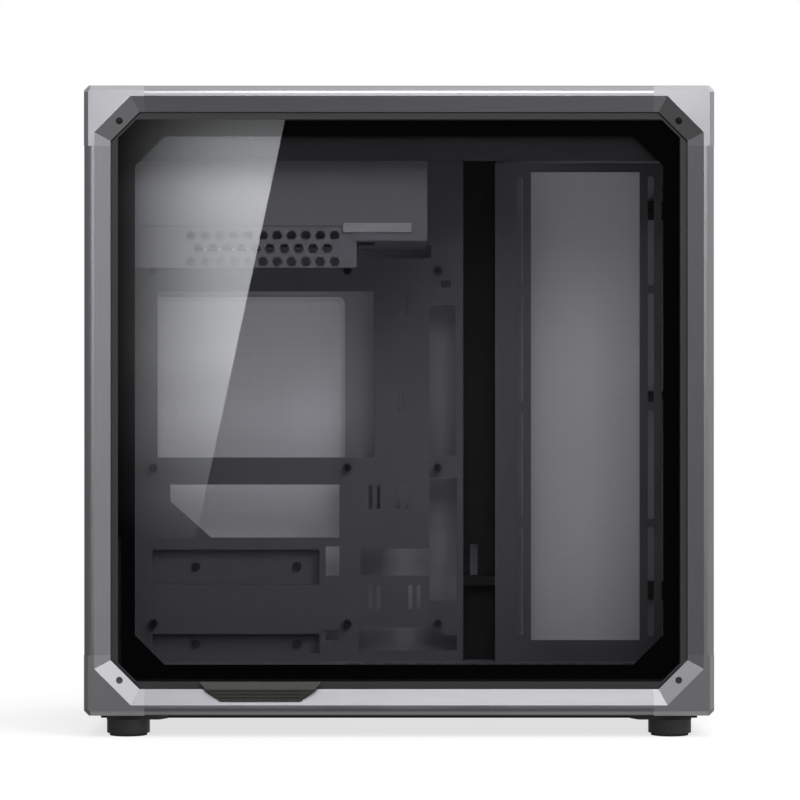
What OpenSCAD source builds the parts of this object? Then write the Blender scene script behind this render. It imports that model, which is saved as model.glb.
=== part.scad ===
// Mid-tower computer case: an open frame of bevelled rails and cast corner blocks,
// a glass side panel, mesh panels and a steel chassis inside.
// X runs from the rear to the front, the glass side faces -Y, and Z is up from the floor.

/* [Case] */
// Length of the body from rear to front
case_length = 468; // [460:1:500]
// Height of the body above its feet
case_height = 468; // [464:1:500]
// Width of the body across its side panels
case_width = 240; // [236:1:260]
// Height of the feet
foot_height = 16; // [12:0.5:20]

/* [Rails and corners] */
// Flat width of a rail's outer face
rail_face = 8; // [7.5:0.5:11]
// Width of the bevel inside that face
bevel_width = 11.5; // [9:0.5:13]
// Depth of the bevel
bevel_depth = 6; // [4:0.5:7]
// Depth at which the chassis seats on the rails
rail_depth = 16; // [15.5:0.5:18]
// Wall of the hollow rails
rail_wall = 2.4; // [1.8:0.1:3]
// Radius of the outer edges
edge_radius = 6; // [2:0.5:7]
// Reach of the lip that a panel rests against
lip_reach = 5.5; // [4:0.5:7]
// Thickness of that lip
lip_thickness = 1.7; // [1.2:0.1:2]
// Chamfer along the outer edges of a corner block
edge_chamfer = 3.5; // [2:0.5:4]
// Length of a corner block along each rail
corner_length = 45; // [42:1:52]
// Distance from the corner to the outer edge of the corner facet, along both rails together
facet_outer = 43; // [41:0.5:48]
// Distance from the corner to the inner edge of the corner facet
facet_inner = 60.5; // [58:0.5:64]

/* [Panels] */
// Running gap round each removable panel
panel_gap = 0.3; // [0.3:0.1:0.8]
// Visible width of the trim round a panel
trim_width = 5; // [4:0.5:7]
// Thickness of the glass
glass_thickness = 4; // [3:0.5:4]
// Width of the frame behind the glass
glass_frame_width = 11; // [9:0.5:14]
// Thickness of pressed steel panels
panel_sheet = 1.2; // [0.8:0.1:1.6]
// Length of the rear mesh window in the right side panel
rear_window_length = 160; // [100:1:220]
// Height of that window
rear_window_height = 261; // [100:1:340]
// Length of the front mesh window
front_window_length = 96; // [60:1:130]
// Height of that window
front_window_height = 386; // [200:1:394]
// Distance between the flats of a vent hole
vent_hole = 10.8; // [9:0.1:11.2]
// Distance between the centres of vent holes
vent_pitch = 13.5; // [13:0.1:16]
// Diameter of the stud that holds a removable panel
stud_d = 6; // [5:0.5:7]
// Reach of the studs behind a panel
stud_reach = 8; // [6:0.5:9]
// Length of the pull tab at its inner edge
tab_length = 81; // [60:1:100]
// Distance from the middle of the case to the middle of the pull tab
tab_offset = 103; // [90:1:110]

/* [Chassis] */
// Thickness of the chassis sheet
sheet = 1.2; // [0.8:0.1:1.6]
// Space for cables behind the tray
cable_space = 39; // [34:1:44]
// Height of the bottom plate above the seat of the chassis
floor_rise = 8; // [6:0.5:12]
// Height of the power supply bay
psu_height = 86; // [86:1:88]
// Depth of the power supply bay across the case
psu_width = 150; // [150:1:152]
// Length of the cover over the power supply bay
psu_cover_length = 239; // [220:1:244]
// Height of that cover
psu_cover_height = 59; // [50:1:80]
// Distance from the chassis seat at the top down to the power supply
psu_drop = 10.5; // [10:0.5:14]

/* [Board] */
// Distance from the rear of the chassis to the board's rear edge
board_inset = 11.5; // [11:0.5:16]
// Distance from the chassis seat at the top down to the board's top edge
board_drop = 107.9; // [105:0.1:109]
// Height of the board above the tray
standoff_height = 6.5; // [6:0.5:8]
// Outer diameter of a standoff
standoff_d = 6; // [5.5:0.1:6.4]
// Diameter of the thread in a standoff
standoff_bore = 3; // [2.6:0.1:3.2]
// Distance between card slots
slot_pitch = 20.32; // [20.32:0.01:20.32]

/* [Fans] */
// Distance between a fan's screw holes
fan_hole_pitch = 105; // [105:0.5:106]
// Width of a fan
fan_size = 120; // [120:1:122]
// Width of the slots for the fan screws
fan_slot = 5; // [4.5:0.1:6]

/* [Feet and controls] */
// Diameter of a foot
foot_d = 32; // [26:1:34]
// Thickness of a foot's pad
pad_thickness = 2; // [1.5:0.5:3]
// Diameter of the power button
power_d = 13; // [11:0.5:15]
// Diameter of the reset button
reset_d = 6; // [5:0.5:8]
// Travel of the buttons
button_travel = 1.2; // [0.8:0.1:1.6]

/* [Hidden] */
$fn = 48;
tiny = 0.01;
aluminium = [0.62, 0.62, 0.66];
cast_metal = [0.70, 0.70, 0.73];
dark_steel = [0.30, 0.30, 0.33];
black_plastic = [0.10, 0.10, 0.11];
// Width over which a rail reaches inwards on its outer face
rail_reach = rail_face + bevel_width;
// Outer corners of the body
half_x = case_length / 2;
half_y = case_width / 2;
low_z = foot_height;
high_z = foot_height + case_height;
// Faces on which the chassis seats
seat_x = half_x - rail_depth;
seat_y = half_y - rail_depth;
seat_low = low_z + rail_depth;
seat_high = high_z - rail_depth;
// Depth of a panel's back face below the rail's outer face
panel_back = rail_depth - lip_thickness - panel_gap;
// Depth of a panel's front face
panel_front = bevel_depth + 1.5;
// Inset of a panel's outer edge and of the field inside its trim
panel_edge = rail_reach + panel_gap;
panel_field = panel_edge + trim_width;
// Sum of both insets at a panel's cut-off corner
panel_corner = facet_inner + 1;
glass_front = panel_front + 0.7;
// Studs and what they plug into
stud_gap = 0.3;
stud_inset = panel_field + 5;
side_stud_heights = [-case_height / 2 + 80, 0, case_height / 2 - 80];
top_stud_places = [-case_width / 2 + 70, case_width / 2 - 70];
socket_outer = stud_inset - rail_reach;
socket_inner = stud_d / 2 + stud_gap + 2.4;
socket_height = 15;
bush_r = stud_d / 2 + stud_gap + 1.2;
bush_lip = 3;
bush_rim = 1;
column_bar_drop = 258;
bracket_rise = 79.7;
// Folded edge of a steel panel
panel_fold = 14;
// Tab of the glass panel
tab_recess = 0.5;
tab_drop = 9;
// Woven mesh behind the windows of the right side panel
window_corner = 6;
mesh_border = 4;
mesh_sheet = 0.8;
// Mesh windows in the right side panel: their outer ends and lower edges stay clear of its folds
// and cut corners, and their middles are measured from the rear and the foot of the body
window_clearance = 1;
window_limit = panel_edge + panel_sheet + mesh_border;
rear_window_end = window_limit + window_clearance;
rear_window_low = window_limit + 28.5;
front_window_end = window_limit + 9;
front_window_low = panel_corner + 1.5 - front_window_end + 2 * mesh_border;
rear_window_at = [rear_window_end + rear_window_length / 2, rear_window_low + rear_window_height / 2];
front_window_at = [case_length - front_window_end - front_window_length / 2,
    front_window_low + front_window_height / 2];
rear_window = [rear_window_length, rear_window_height];
front_window = [front_window_length, front_window_height];
// Fields of vents in the panels
front_vent_width = 130;
front_vent_height = 370;
top_vent_length = 330;
top_vent_width = 110;
// Faces of the chassis
rear_face = -seat_x;
tray_y = seat_y - cable_space;
tray_back = tray_y + sheet;
floor_top = seat_low + floor_rise + sheet;
roof_under = seat_high - sheet;
// Board corner at the rear and the top, and its screw places measured from there
board_x = rear_face + board_inset;
board_z = seat_high - board_drop;
board_columns = [10.16, 165.1, 237.49];
board_rows = [6.35, 163.83, 288.29];
tray_right = board_x + 257.8;
slot_z = board_z - 182;
slot_flange = 17;
slot_screw_x = rear_face + 12;
cover_w = 18.4;
// Openings in the rear sheet, measured from the board's face and top edge
port_front = 42.5;
port_back = 1.95;
port_low = 164;
port_high = 5.25;
card_near = 107;
card_far = 4;
card_flange = 112;
cover_t = 0.9;
screw_d = 3.6;
// Slits for cable ties
tie_w = 6.6;
tie_h = 19;
tie_slit = 3;
// Drive pockets, measured from the board's corner; the lower one fits between the floor and the
// stubs of the lowest standoffs
pan_rim = 5;
pan_clearance = 0.4;
stub_clearance = 1.76;
standoff_stub = (standoff_bore + 0.9) / 2;
upper_pan = [9, -257.5, 142.7, -229.4];
lower_pan = [9, floor_top + pan_rim + pan_clearance - board_z,
    142.7, -board_rows[2] - standoff_stub - pan_rim - stub_clearance];
drive_screws = [43.4, 124.5];
pan_depth = 6;
// Power supply bay
psu_low = seat_high - psu_drop - psu_height;
psu_face = tray_y - psu_width;
bracket_margin = 7;
bracket_cut = 8;
// Lower rear part of the cover, with its field of small vents
cover_step = board_x + 171.6;
strip_low = psu_low - 21.5;
strip_high = psu_low + 12;
strip_join = psu_low + 10;
strip_pitch = 10.8;
strip_row_step = 9.8;
strip_margin = 4.5;
strip_lap = 3;
strip_set = 0.3;
strip_hole = 8;
strip_columns = 11;
strip_rows = 3;
strip_first = board_x + 50;
// Column between the tray and the fan bracket
column_depth = 20;
bracket_left = board_x + 284.5;
bracket_right = board_x + 416.6;
// Controls and ports, placed along a line across the case
io_x = half_x - 47;
io_length = 116;
io_width = 16;
io_top = high_z - panel_front;
// Depth of the top fan frame's folded edge behind the glass
roof_fold = 38;
power_place = -44;
reset_place = -28;
usb_places = [-8, 14];
usb_c_place = 32;
audio_place = 48;
usb_w = 14;
usb_h = 6.4;
usb_c_w = 9.2;
usb_c_h = 3.4;
audio_d = 3.6;
port_depth = 6;
// Filter under the case and its runners
filter_width = 150;
filter_length = 400;
filter_thickness = 2.6;
filter_border = 12;
mesh_thickness = 0.5;
runner_length = case_length - 18;
runner_depth = 5.5;
runner_ledge = 1.5;
runner_hold = 4;
runner_wall = 3;
filter_low = low_z - runner_depth + runner_ledge + panel_gap;
// Feet, placed by their distance from the body's corners
foot_inset_x = 31.5;
foot_inset_y = 22;
foot_plate = 3.5;

// Rectangle with its corners cut off, between two insets measured from the body's outer edges
module cut_corner_face(length, height, inset, corner) {
    a = length / 2 - inset;
    b = height / 2 - inset;
    c = max(corner - 2 * inset, tiny);
    polygon([[-a, -b + c], [-a + c, -b], [a - c, -b], [a, -b + c],
             [a, b - c], [a - c, b], [-a + c, b], [-a, b - c]]);
}

// Places a shape drawn with X across, Y up and Z outwards on one of the body's faces
module on_left() { translate([0, -half_y, low_z + case_height / 2]) rotate([90, 0, 0]) children(); }
module on_right() { translate([0, half_y, low_z + case_height / 2]) rotate([90, 0, 180]) children(); }
module on_front() { translate([half_x, 0, low_z + case_height / 2]) rotate([90, 0, 90]) children(); }
module on_top() { translate([0, 0, high_z]) children(); }

// Section of a rail: its outer corner at the origin, reaching along +X and +Y
module rail_section() {
    e = edge_radius;
    far = rail_reach;
    d = bevel_depth;
    lip = rail_depth - lip_thickness;
    reach = lip_reach + far - rail_depth;
    hollow = rail_face / 2;
    in_far = far - rail_wall;
    in_deep = rail_depth - rail_wall;
    difference() {
        union() {
            translate([e, e]) circle(r = e);
            polygon([[0, e], [e, 0], [rail_face, 0], [far, d], [far, rail_depth],
                     [rail_depth, rail_depth], [rail_depth, far], [d, far], [0, rail_face]]);
            translate([lip, rail_depth - 1]) square([lip_thickness, reach + 1]);
            translate([rail_depth - 1, lip]) square([reach + 1, lip_thickness]);
        }
        polygon([[hollow, hollow], [rail_face + 1, hollow], [in_far, d + rail_wall], [in_far, in_deep],
                 [in_deep, in_deep], [in_deep, in_far], [d + rail_wall, in_far], [hollow, rail_face + 1]]);
    }
}

// Straight hollow rail between two corner blocks, along +Z from the origin
module rail(length) {
    color(aluminium) linear_extrude(height = length) rail_section();
}

module rail_along_x(y_side, z_side) {
    z = z_side > 0 ? high_z : low_z;
    translate([-half_x + corner_length, y_side * half_y, z])
        mirror([0, y_side > 0 ? 1 : 0, 0]) mirror([0, 0, z_side > 0 ? 1 : 0])
            rotate([90, 0, 90]) rail(case_length - 2 * corner_length);
}

module rail_along_y(x_side, z_side) {
    z = z_side > 0 ? high_z : low_z;
    translate([x_side * half_x, -half_y + corner_length, z])
        mirror([x_side > 0 ? 1 : 0, 0, 0]) mirror([0, 0, z_side > 0 ? 1 : 0])
            mirror([0, 1, 0]) rotate([90, 0, 0]) rail(case_width - 2 * corner_length);
}

module rail_along_z(x_side, y_side) {
    translate([x_side * half_x, y_side * half_y, low_z + corner_length])
        mirror([x_side > 0 ? 1 : 0, 0, 0]) mirror([0, y_side > 0 ? 1 : 0, 0])
            rail(case_height - 2 * corner_length);
}

// Plan of the flat face of a corner block, and the face left inside its facet
module facet_plan(inset, corner) {
    far = 2 * corner_length;
    c = corner - inset;
    polygon([[inset, c], [c, inset], [far, inset], [far, far], [inset, far]]);
}

// Opening that the bevels and the facet leave in one face of a corner block, along +Z
module facet_cut() {
    outer = rail_face;
    inner = rail_reach;
    far = corner_length + 1;
    polyhedron(
        points = [
            [outer, facet_outer - outer, -tiny], [facet_outer - outer, outer, -tiny],
            [far, outer, -tiny], [far, far, -tiny], [outer, far, -tiny],
            [inner, facet_inner - inner, bevel_depth], [facet_inner - inner, inner, bevel_depth],
            [far, inner, bevel_depth], [far, far, bevel_depth], [inner, far, bevel_depth]],
        faces = [[0, 1, 2, 3, 4], [9, 8, 7, 6, 5], [0, 5, 6, 1], [1, 6, 7, 2], [2, 7, 8, 3],
                 [3, 8, 9, 4], [4, 9, 5, 0]]);
    translate([0, 0, bevel_depth - tiny]) linear_extrude(height = far) facet_plan(inner, facet_inner);
}

// Long wedge that takes the edge off a block, along +X
module edge_wedge() {
    translate([-1, 0, 0]) rotate([90, 0, 90]) linear_extrude(height = corner_length + 2)
        polygon([[-1, -1], [edge_chamfer + 1, -1], [-1, edge_chamfer + 1]]);
}

// Turns a shape from one face of the corner to the next
module next_face() { multmatrix([[0, 0, 1, 0], [1, 0, 0, 0], [0, 1, 0, 0], [0, 0, 0, 1]]) children(); }

// Cast block at the body's corner, its outer corner at the origin, with a leg for each rail
module corner_block() {
    tip = 2.4 * edge_chamfer;
    color(cast_metal) difference() {
        cube(corner_length);
        facet_cut();
        next_face() facet_cut();
        next_face() next_face() facet_cut();
        translate([1, 1, 1] * rail_depth) cube(corner_length);
        edge_wedge();
        next_face() edge_wedge();
        next_face() next_face() edge_wedge();
        polyhedron(points = [[-1, -1, -1], [tip + 2, -1, -1], [-1, tip + 2, -1], [-1, -1, tip + 2]],
            faces = [[0, 1, 2], [0, 2, 3], [0, 3, 1], [1, 3, 2]]);
    }
}

// Corner block on the chosen side of the body along each axis
module corner(x_side, y_side, z_side) {
    translate([x_side * half_x, y_side * half_y, z_side > 0 ? high_z : low_z])
        mirror([x_side > 0 ? 1 : 0, 0, 0]) mirror([0, y_side > 0 ? 1 : 0, 0])
            mirror([0, 0, z_side > 0 ? 1 : 0]) corner_block();
}

module top_left_rail() { rail_along_x(-1, 1); }
module top_right_rail() { rail_along_x(1, 1); }
module bottom_left_rail() { rail_along_x(-1, -1); }
module bottom_right_rail() { rail_along_x(1, -1); }
module rear_left_post() { rail_along_z(-1, -1); }
module rear_right_post() { rail_along_z(-1, 1); }
module front_left_post() { rail_along_z(1, -1); }
module front_right_post() { rail_along_z(1, 1); }
module top_rear_crossbar() { rail_along_y(-1, 1); }
module top_front_crossbar() { rail_along_y(1, 1); }
module bottom_rear_crossbar() { rail_along_y(-1, -1); }
module bottom_front_crossbar() { rail_along_y(1, -1); }
module corner_top_rear_left() { corner(-1, -1, 1); }
module corner_top_rear_right() { corner(-1, 1, 1); }
module corner_top_front_left() { corner(1, -1, 1); }
module corner_top_front_right() { corner(1, 1, 1); }
module corner_bottom_rear_left() { corner(-1, -1, -1); }
module corner_bottom_rear_right() { corner(-1, 1, -1); }
module corner_bottom_front_left() { corner(1, -1, -1); }
module corner_bottom_front_right() { corner(1, 1, -1); }

// Ring between two insets of a panel that spans length by height
module trim_ring(length, height, outer, inner, front, back) {
    translate([0, 0, -back]) linear_extrude(height = back - front) difference() {
        cut_corner_face(length, height, outer, panel_corner);
        cut_corner_face(length, height, inner, panel_corner + 2);
    }
}

// Staggered field of six-sided vent holes, centred, columns across X
module vent_field(width, height) {
    row_step = vent_pitch * sqrt(3) / 2;
    columns = floor((width - vent_hole) / vent_pitch);
    rows = floor((height - vent_hole) / row_step);
    for (row = [0:rows], column = [0:columns - (row % 2)]) {
        translate([(column - columns / 2 + (row % 2) / 2) * vent_pitch, (row - rows / 2) * row_step])
            rotate(90) circle(d = vent_hole / cos(30), $fn = 6);
    }
}

// Places a stud on each side of a panel at each of the given heights
module at_studs(length, heights) {
    for (side = [-1, 1], y = heights) {
        translate([side * (length / 2 - stud_inset), y, 0]) mirror([side > 0 ? 1 : 0, 0, 0]) children();
    }
}

module stud() { translate([0, 0, -panel_back - stud_reach]) cylinder(d = stud_d, h = stud_reach); }

// Plastic socket for a stud, behind the lip of a post
module stud_socket() {
    bore = stud_d / 2 + stud_gap;
    translate([0, 0, -rail_depth - stud_reach]) difference() {
        translate([-socket_outer, -socket_height / 2, 0])
            cube([socket_outer + socket_inner, socket_height, stud_reach]);
        translate([0, 0, -1]) cylinder(r = bore, h = stud_reach + 2);
    }
}

// Flanged bush for a stud, in a fan frame
module stud_bush() {
    bore = stud_d / 2 + stud_gap;
    translate([0, 0, -rail_depth]) difference() {
        union() {
            translate([0, 0, -sheet - bush_lip]) cylinder(r = bush_r + bush_rim, h = bush_lip);
            translate([0, 0, -sheet]) cylinder(r = bush_r, h = sheet);
        }
        translate([0, 0, -sheet - bush_lip - 1]) cylinder(r = bore, h = sheet + bush_lip + 2);
    }
}

module glass_pane() {
    color([0.10, 0.10, 0.11, 0.4]) on_left()
        translate([0, 0, -glass_front - glass_thickness]) linear_extrude(height = glass_thickness)
            cut_corner_face(case_length, case_height, panel_field, panel_corner + 2);
}

module glass_frame() {
    glass_back = glass_front + glass_thickness;
    color(dark_steel) on_left() {
        trim_ring(case_length, case_height, panel_edge, panel_field, panel_front, panel_back);
        trim_ring(case_length, case_height, panel_field, panel_field + glass_frame_width,
                  glass_back, panel_back);
    }
}

// Section of the pull tab, X up from the body's edge and Y outwards, lying along the bevel
module tab_section() {
    slope = bevel_depth / bevel_width;
    low = panel_edge - tab_drop;
    join = panel_edge - panel_gap;
    difference() {
        polygon([[low, -tab_recess], [low, panel_gap - (low - rail_face) * slope],
                 [join, panel_gap - bevel_depth], [panel_edge, panel_gap - bevel_depth],
                 [panel_edge, -panel_front], [panel_field, -panel_front], [panel_field, -bevel_depth + 1],
                 [panel_edge, -tab_recess]]);
        for (i = [0:2]) {
            translate([low + 2 + i * 2.5, -tab_recess - 0.7]) square([1.1, 1]);
        }
    }
}

// Ribbed tab with slanted ends under the glass, over the bevel of the bottom rail
module pull_tab() {
    half = tab_length / 2;
    slant = 12;
    color(black_plastic) on_left() translate([-tab_offset, -case_height / 2, 0]) intersection() {
        translate([-half - 10, 0, 0]) rotate([90, 0, 90])
            linear_extrude(height = 2 * half + 20) tab_section();
        translate([0, 0, -rail_depth]) linear_extrude(height = rail_depth) polygon([
            [-half - 6, panel_field + 1], [half + 6, panel_field + 1], [half, panel_edge],
            [half - slant, panel_edge - tab_drop - 1], [-half + slant, panel_edge - tab_drop - 1],
            [-half, panel_edge]]);
    }
}

module glass_studs() {
    color(black_plastic) on_left() at_studs(case_length, side_stud_heights) stud();
}

// Pressed steel panel with folded edges and the openings that are drawn as its children
module steel_panel(length, height) {
    inner = panel_edge + panel_sheet;
    trim_ring(length, height, panel_edge, inner, panel_front + panel_sheet, panel_back);
    trim_ring(length, height, inner, inner + panel_fold, panel_back - panel_sheet, panel_back);
    translate([0, 0, -panel_front - panel_sheet]) linear_extrude(height = panel_sheet) difference() {
        cut_corner_face(length, height, panel_edge, panel_corner);
        children();
    }
}

// Rectangle with round corners, centred
module round_window(width, height, corner) {
    square([width - 2 * corner, height], center = true);
    square([width, height - 2 * corner], center = true);
    for (x = [-1, 1], y = [-1, 1]) {
        translate([x * (width / 2 - corner), y * (height / 2 - corner)]) circle(r = corner);
    }
}

// Both mesh windows of the right side panel, grown by a border
module at_windows(border) {
    places = [rear_window_at, front_window_at];
    spans = [rear_window, front_window];
    for (i = [0, 1]) {
        translate([case_length / 2 - places[i][0], places[i][1] - case_height / 2])
            round_window(spans[i][0] + 2 * border, spans[i][1] + 2 * border, window_corner);
    }
}

module right_side_panel() {
    color(aluminium) on_right() steel_panel(case_length, case_height) at_windows(0);
}

// Sheets of fine mesh welded behind the windows of the right side panel
module side_panel_mesh() {
    color(dark_steel) on_right() translate([0, 0, -panel_front - panel_sheet - mesh_sheet])
        linear_extrude(height = mesh_sheet) at_windows(mesh_border);
}

module right_panel_studs() {
    color(black_plastic) on_right() at_studs(case_length, side_stud_heights) stud();
}

module front_panel() {
    color(dark_steel) on_front() steel_panel(case_width, case_height)
        vent_field(front_vent_width, front_vent_height);
}

module front_panel_studs() {
    color(black_plastic) on_front() at_studs(case_width, side_stud_heights) stud();
}

module top_panel() {
    color(dark_steel) difference() {
        on_top() steel_panel(case_length, case_width) vent_field(top_vent_length, top_vent_width);
        translate([io_x - io_width / 2 - panel_gap, -io_length / 2 - panel_gap, seat_high])
            cube([io_width + 2 * panel_gap, io_length + 2 * panel_gap, rail_depth]);
    }
}

module top_panel_studs() {
    color(black_plastic) on_top() at_studs(case_length, top_stud_places) stud();
}

module stud_sockets() {
    color(black_plastic) {
        on_left() at_studs(case_length, side_stud_heights) stud_socket();
        on_right() at_studs(case_length, side_stud_heights) stud_socket();
    }
}

module stud_bushes() {
    color(black_plastic) {
        on_front() at_studs(case_width, side_stud_heights) stud_bush();
        on_top() at_studs(case_length, top_stud_places) stud_bush();
    }
}

// Bent or flat sheet in the plane of the tray, drawn with X across and Z up
module upright(y, thickness) {
    translate([0, y + thickness, 0]) rotate([90, 0, 0]) linear_extrude(height = thickness) children();
}

// Rectangle given by its corners
module patch(x0, z0, x1, z1) { translate([x0, z0]) square([x1 - x0, z1 - z0]); }

// Pair of slits that leaves a bridge for a cable tie
module tie_slits(x, z) {
    for (side = [-1, 1]) {
        translate([x + side * tie_w / 2 - tie_slit / 2, z - tie_h / 2]) square([tie_slit, tie_h]);
    }
}

// Places its children at the nine screw places of the board
module at_board_holes() {
    for (x = board_columns, z = board_rows) {
        translate([board_x + x, 0, board_z - z]) children();
    }
}

module tray_plan() {
    difference() {
        patch(rear_face + sheet, floor_top, tray_right, roof_under);
        translate([board_x, board_z]) {
            patch(13, -155.7, 186, -22.8);
            polygon([[23.4, -177.4], [158.7, -177.4], [158.7, -219.8], [56, -219.8], [23.4, -191]]);
            patch(230.8, -154.1, 251.7, -34);
            patch(240, -20, 248, -14);
            patch(230.8, -270.3, 252.5, -171.8);
            patch(175.6, -250.3, 231.8, -228.6);
            patch(145.1, -250.3, 158.7, -227);
            patch(145.1, -302.3, 158.7, -293.5);
            patch(174, 14.8 - 11, 232.4, 14.8);
            polygon([[174, -318.2 + 8], [174, -291.9], [236, -291.9], [244, -298], [252.5, -298],
                     [252.5, -310.2]]);
            tie_slits(209.2, -33.2);
            tie_slits(209.2, -111.3);
            for (x = [186.8, 209.2]) {
                tie_slits(x, -187.4);
            }
            for (x = [186.8, 218.8]) {
                tie_slits(x, -267.5);
            }
            pan_hole(upper_pan);
            pan_hole(lower_pan);
        }
    }
}

// Opening of a drive pocket in the tray, and the recessed plate that fills it from behind
module pan_hole(p) { patch(p[0], p[1], p[2], p[3]); }

module drive_pan(p) {
    rim = pan_rim;
    color(dark_steel) translate([board_x, 0, board_z]) {
        upright(tray_back, sheet) difference() {
            patch(p[0] - rim, p[1] - rim, p[2] + rim, p[3] + rim);
            pan_hole(p);
        }
        upright(tray_back + sheet, pan_depth) difference() {
            patch(p[0] - sheet, p[1] - sheet, p[2] + sheet, p[3] + sheet);
            pan_hole(p);
        }
        difference() {
            upright(tray_back + sheet + pan_depth, sheet)
                patch(p[0] - sheet, p[1] - sheet, p[2] + sheet, p[3] + sheet);
            for (x = drive_screws) {
                translate([x, 0, (p[1] + p[3]) / 2]) rotate([-90, 0, 0])
                    cylinder(d = screw_d, h = seat_y);
            }
        }
    }
}

module motherboard_tray() {
    color(dark_steel) difference() {
        union() {
            upright(tray_y, sheet) tray_plan();
            translate([tray_right - sheet, tray_y + sheet, floor_top])
                cube([sheet, column_depth - sheet, roof_under - floor_top]);
        }
        at_board_holes() translate([0, tray_y - 1, 0]) rotate([-90, 0, 0])
            cylinder(d = standoff_bore + 1, h = sheet + 2);
    }
}

// Hexagonal spacers with a threaded bore and a stub through the tray
module standoffs() {
    color([0.12, 0.12, 0.13]) at_board_holes() difference() {
        union() {
            translate([0, tray_y - standoff_height, 0]) rotate([-90, 0, 0])
                cylinder(d = standoff_d / cos(30), h = standoff_height, $fn = 6);
            translate([0, tray_y, 0]) rotate([-90, 0, 0]) cylinder(r = standoff_stub, h = sheet + 1);
        }
        translate([0, tray_y - standoff_height - 1, 0]) rotate([-90, 0, 0])
            cylinder(d = standoff_bore, h = standoff_height);
    }
}

// Rear sheet with the openings for the ports, the cards, the supply and air
module rear_plan() {
    board_y = tray_y - standoff_height;
    difference() {
        patch(-seat_y, seat_low, seat_y, seat_high);
        patch(board_y - port_front, board_z - port_low, board_y + port_back, board_z - port_high);
        patch(tray_y - psu_width, psu_low, tray_y, psu_low + psu_height);
        for (i = [0:6]) {
            patch(board_y - card_near, slot_z - i * slot_pitch - 6.5,
                  board_y - card_far, slot_z - i * slot_pitch + 6.5);
        }
        translate([board_y - port_front - 56, board_z - 84]) vent_field(92, 140);
        translate([seat_y - 20, board_z - 150]) vent_field(30, 200);
    }
}

module rear_panel() {
    board_y = tray_y - standoff_height;
    flange_y = board_y - card_flange;
    low = slot_z - 6 * slot_pitch - 10;
    high = slot_z + 12;
    color(dark_steel) {
        translate([rear_face, 0, 0]) rotate([90, 0, 90]) linear_extrude(height = sheet) rear_plan();
        difference() {
            upright(flange_y, sheet) difference() {
                polygon([[rear_face + sheet, low], [rear_face + slot_flange, low],
                    [rear_face + slot_flange, high], [rear_face + sheet, high + slot_flange]]);
                for (i = [0:6]) {
                    z = slot_z - i * slot_pitch;
                    patch(rear_face, z - cover_w / 2 - 0.2,
                          rear_face + sheet + cover_t + 0.2, z + cover_w / 2 + 0.2);
                }
            }
            for (i = [0:6]) {
                translate([slot_screw_x, flange_y - 1, slot_z - i * slot_pitch]) rotate([-90, 0, 0])
                    cylinder(d = screw_d, h = sheet + 2);
            }
        }
    }
}

// Blanking plates for the card slots, each with a tab bent onto the flange
module slot_covers() {
    board_y = tray_y - standoff_height;
    flange_y = board_y - card_flange;
    x = rear_face + sheet;
    t = cover_t;
    color(dark_steel) for (i = [0:6]) {
        translate([0, 0, slot_z - i * slot_pitch]) difference() {
            union() {
                translate([x, flange_y - t, -cover_w / 2]) cube([t, card_flange + t - card_far, cover_w]);
                translate([x, flange_y - t, -cover_w / 2]) cube([slot_flange - sheet, t, cover_w]);
            }
            translate([slot_screw_x, flange_y - t - 1, 0]) rotate([-90, 0, 0])
                cylinder(d = screw_d, h = t + 2);
            for (y = [12:12:84]) {
                translate([x - 1, flange_y + 8 + y, -4]) cube([t + 2, 4, 8]);
            }
        }
    }
}

module slot_thumb_screws() {
    flange_y = tray_y - standoff_height - card_flange;
    color([0.55, 0.55, 0.58]) for (i = [0:6]) {
        translate([slot_screw_x, flange_y - 0.9, slot_z - i * slot_pitch]) rotate([90, 0, 0]) {
            cylinder(d = 8, h = 1);
            translate([0, 0, 1]) cylinder(d = 6.4, h = 3.5);
            translate([0, 0, -4]) cylinder(d = screw_d - 0.2, h = 4);
        }
    }
}

// Folded cover in front of the power supply bay, with a vented strip at its lower rear
module psu_cover() {
    left = rear_face + sheet;
    right = left + psu_cover_length - 1;
    low = psu_low - sheet;
    high = psu_low + psu_cover_height;
    color(dark_steel) {
        upright(psu_face - sheet, sheet) polygon([[left, strip_join], [cover_step, strip_join],
            [cover_step, low], [right, low], [right, high], [left, high]]);
        upright(psu_face - strip_set, sheet) difference() {
            patch(left, strip_low, cover_step + strip_lap, strip_high);
            strip_vents();
        }
        difference() {
            translate([left, psu_face, low]) cube([right - left, tray_y - psu_face, sheet]);
            translate([left - 1, psu_face - 1, low - 1])
                cube([cover_step - left + 1, sheet + 1 - 2 * strip_set, sheet + 2]);
            translate([left + 20, psu_face + 25, low - 1]) cube([right - left - 60, 100, sheet + 2]);
        }
        translate([right - sheet, psu_face, low]) cube([sheet, 40, psu_cover_height]);
    }
}

// Staggered rows of small vents in the strip, clear of the cover's floor
module strip_vents() {
    for (row = [0:strip_rows - 1], i = [0:strip_columns - 1 - row % 2]) {
        translate([strip_first + (i + (row % 2) / 2) * strip_pitch,
                   strip_low + strip_margin + row * strip_row_step])
            circle(d = strip_hole, $fn = 6);
    }
}

// Plate on the outside of the rear panel that a power supply is screwed to
module psu_bracket() {
    near = psu_face - bracket_margin;
    low = psu_low - bracket_margin;
    high = psu_low + psu_height + 0.8;
    color(dark_steel) translate([rear_face - sheet, 0, 0]) rotate([90, 0, 90])
        linear_extrude(height = sheet) difference() {
            polygon([[near, low], [tray_y + bracket_margin, low], [tray_y + bracket_margin, high],
                     [near + bracket_cut, high], [near, high - bracket_cut]]);
            patch(psu_face + 12, psu_low + 10, tray_y - 12, psu_low + psu_height - 10);
            for (y = [psu_face + 6, tray_y - 6], z = [psu_low + 16, psu_low + psu_height - 6]) {
                translate([y, z]) circle(d = screw_d);
            }
        }
}

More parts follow.
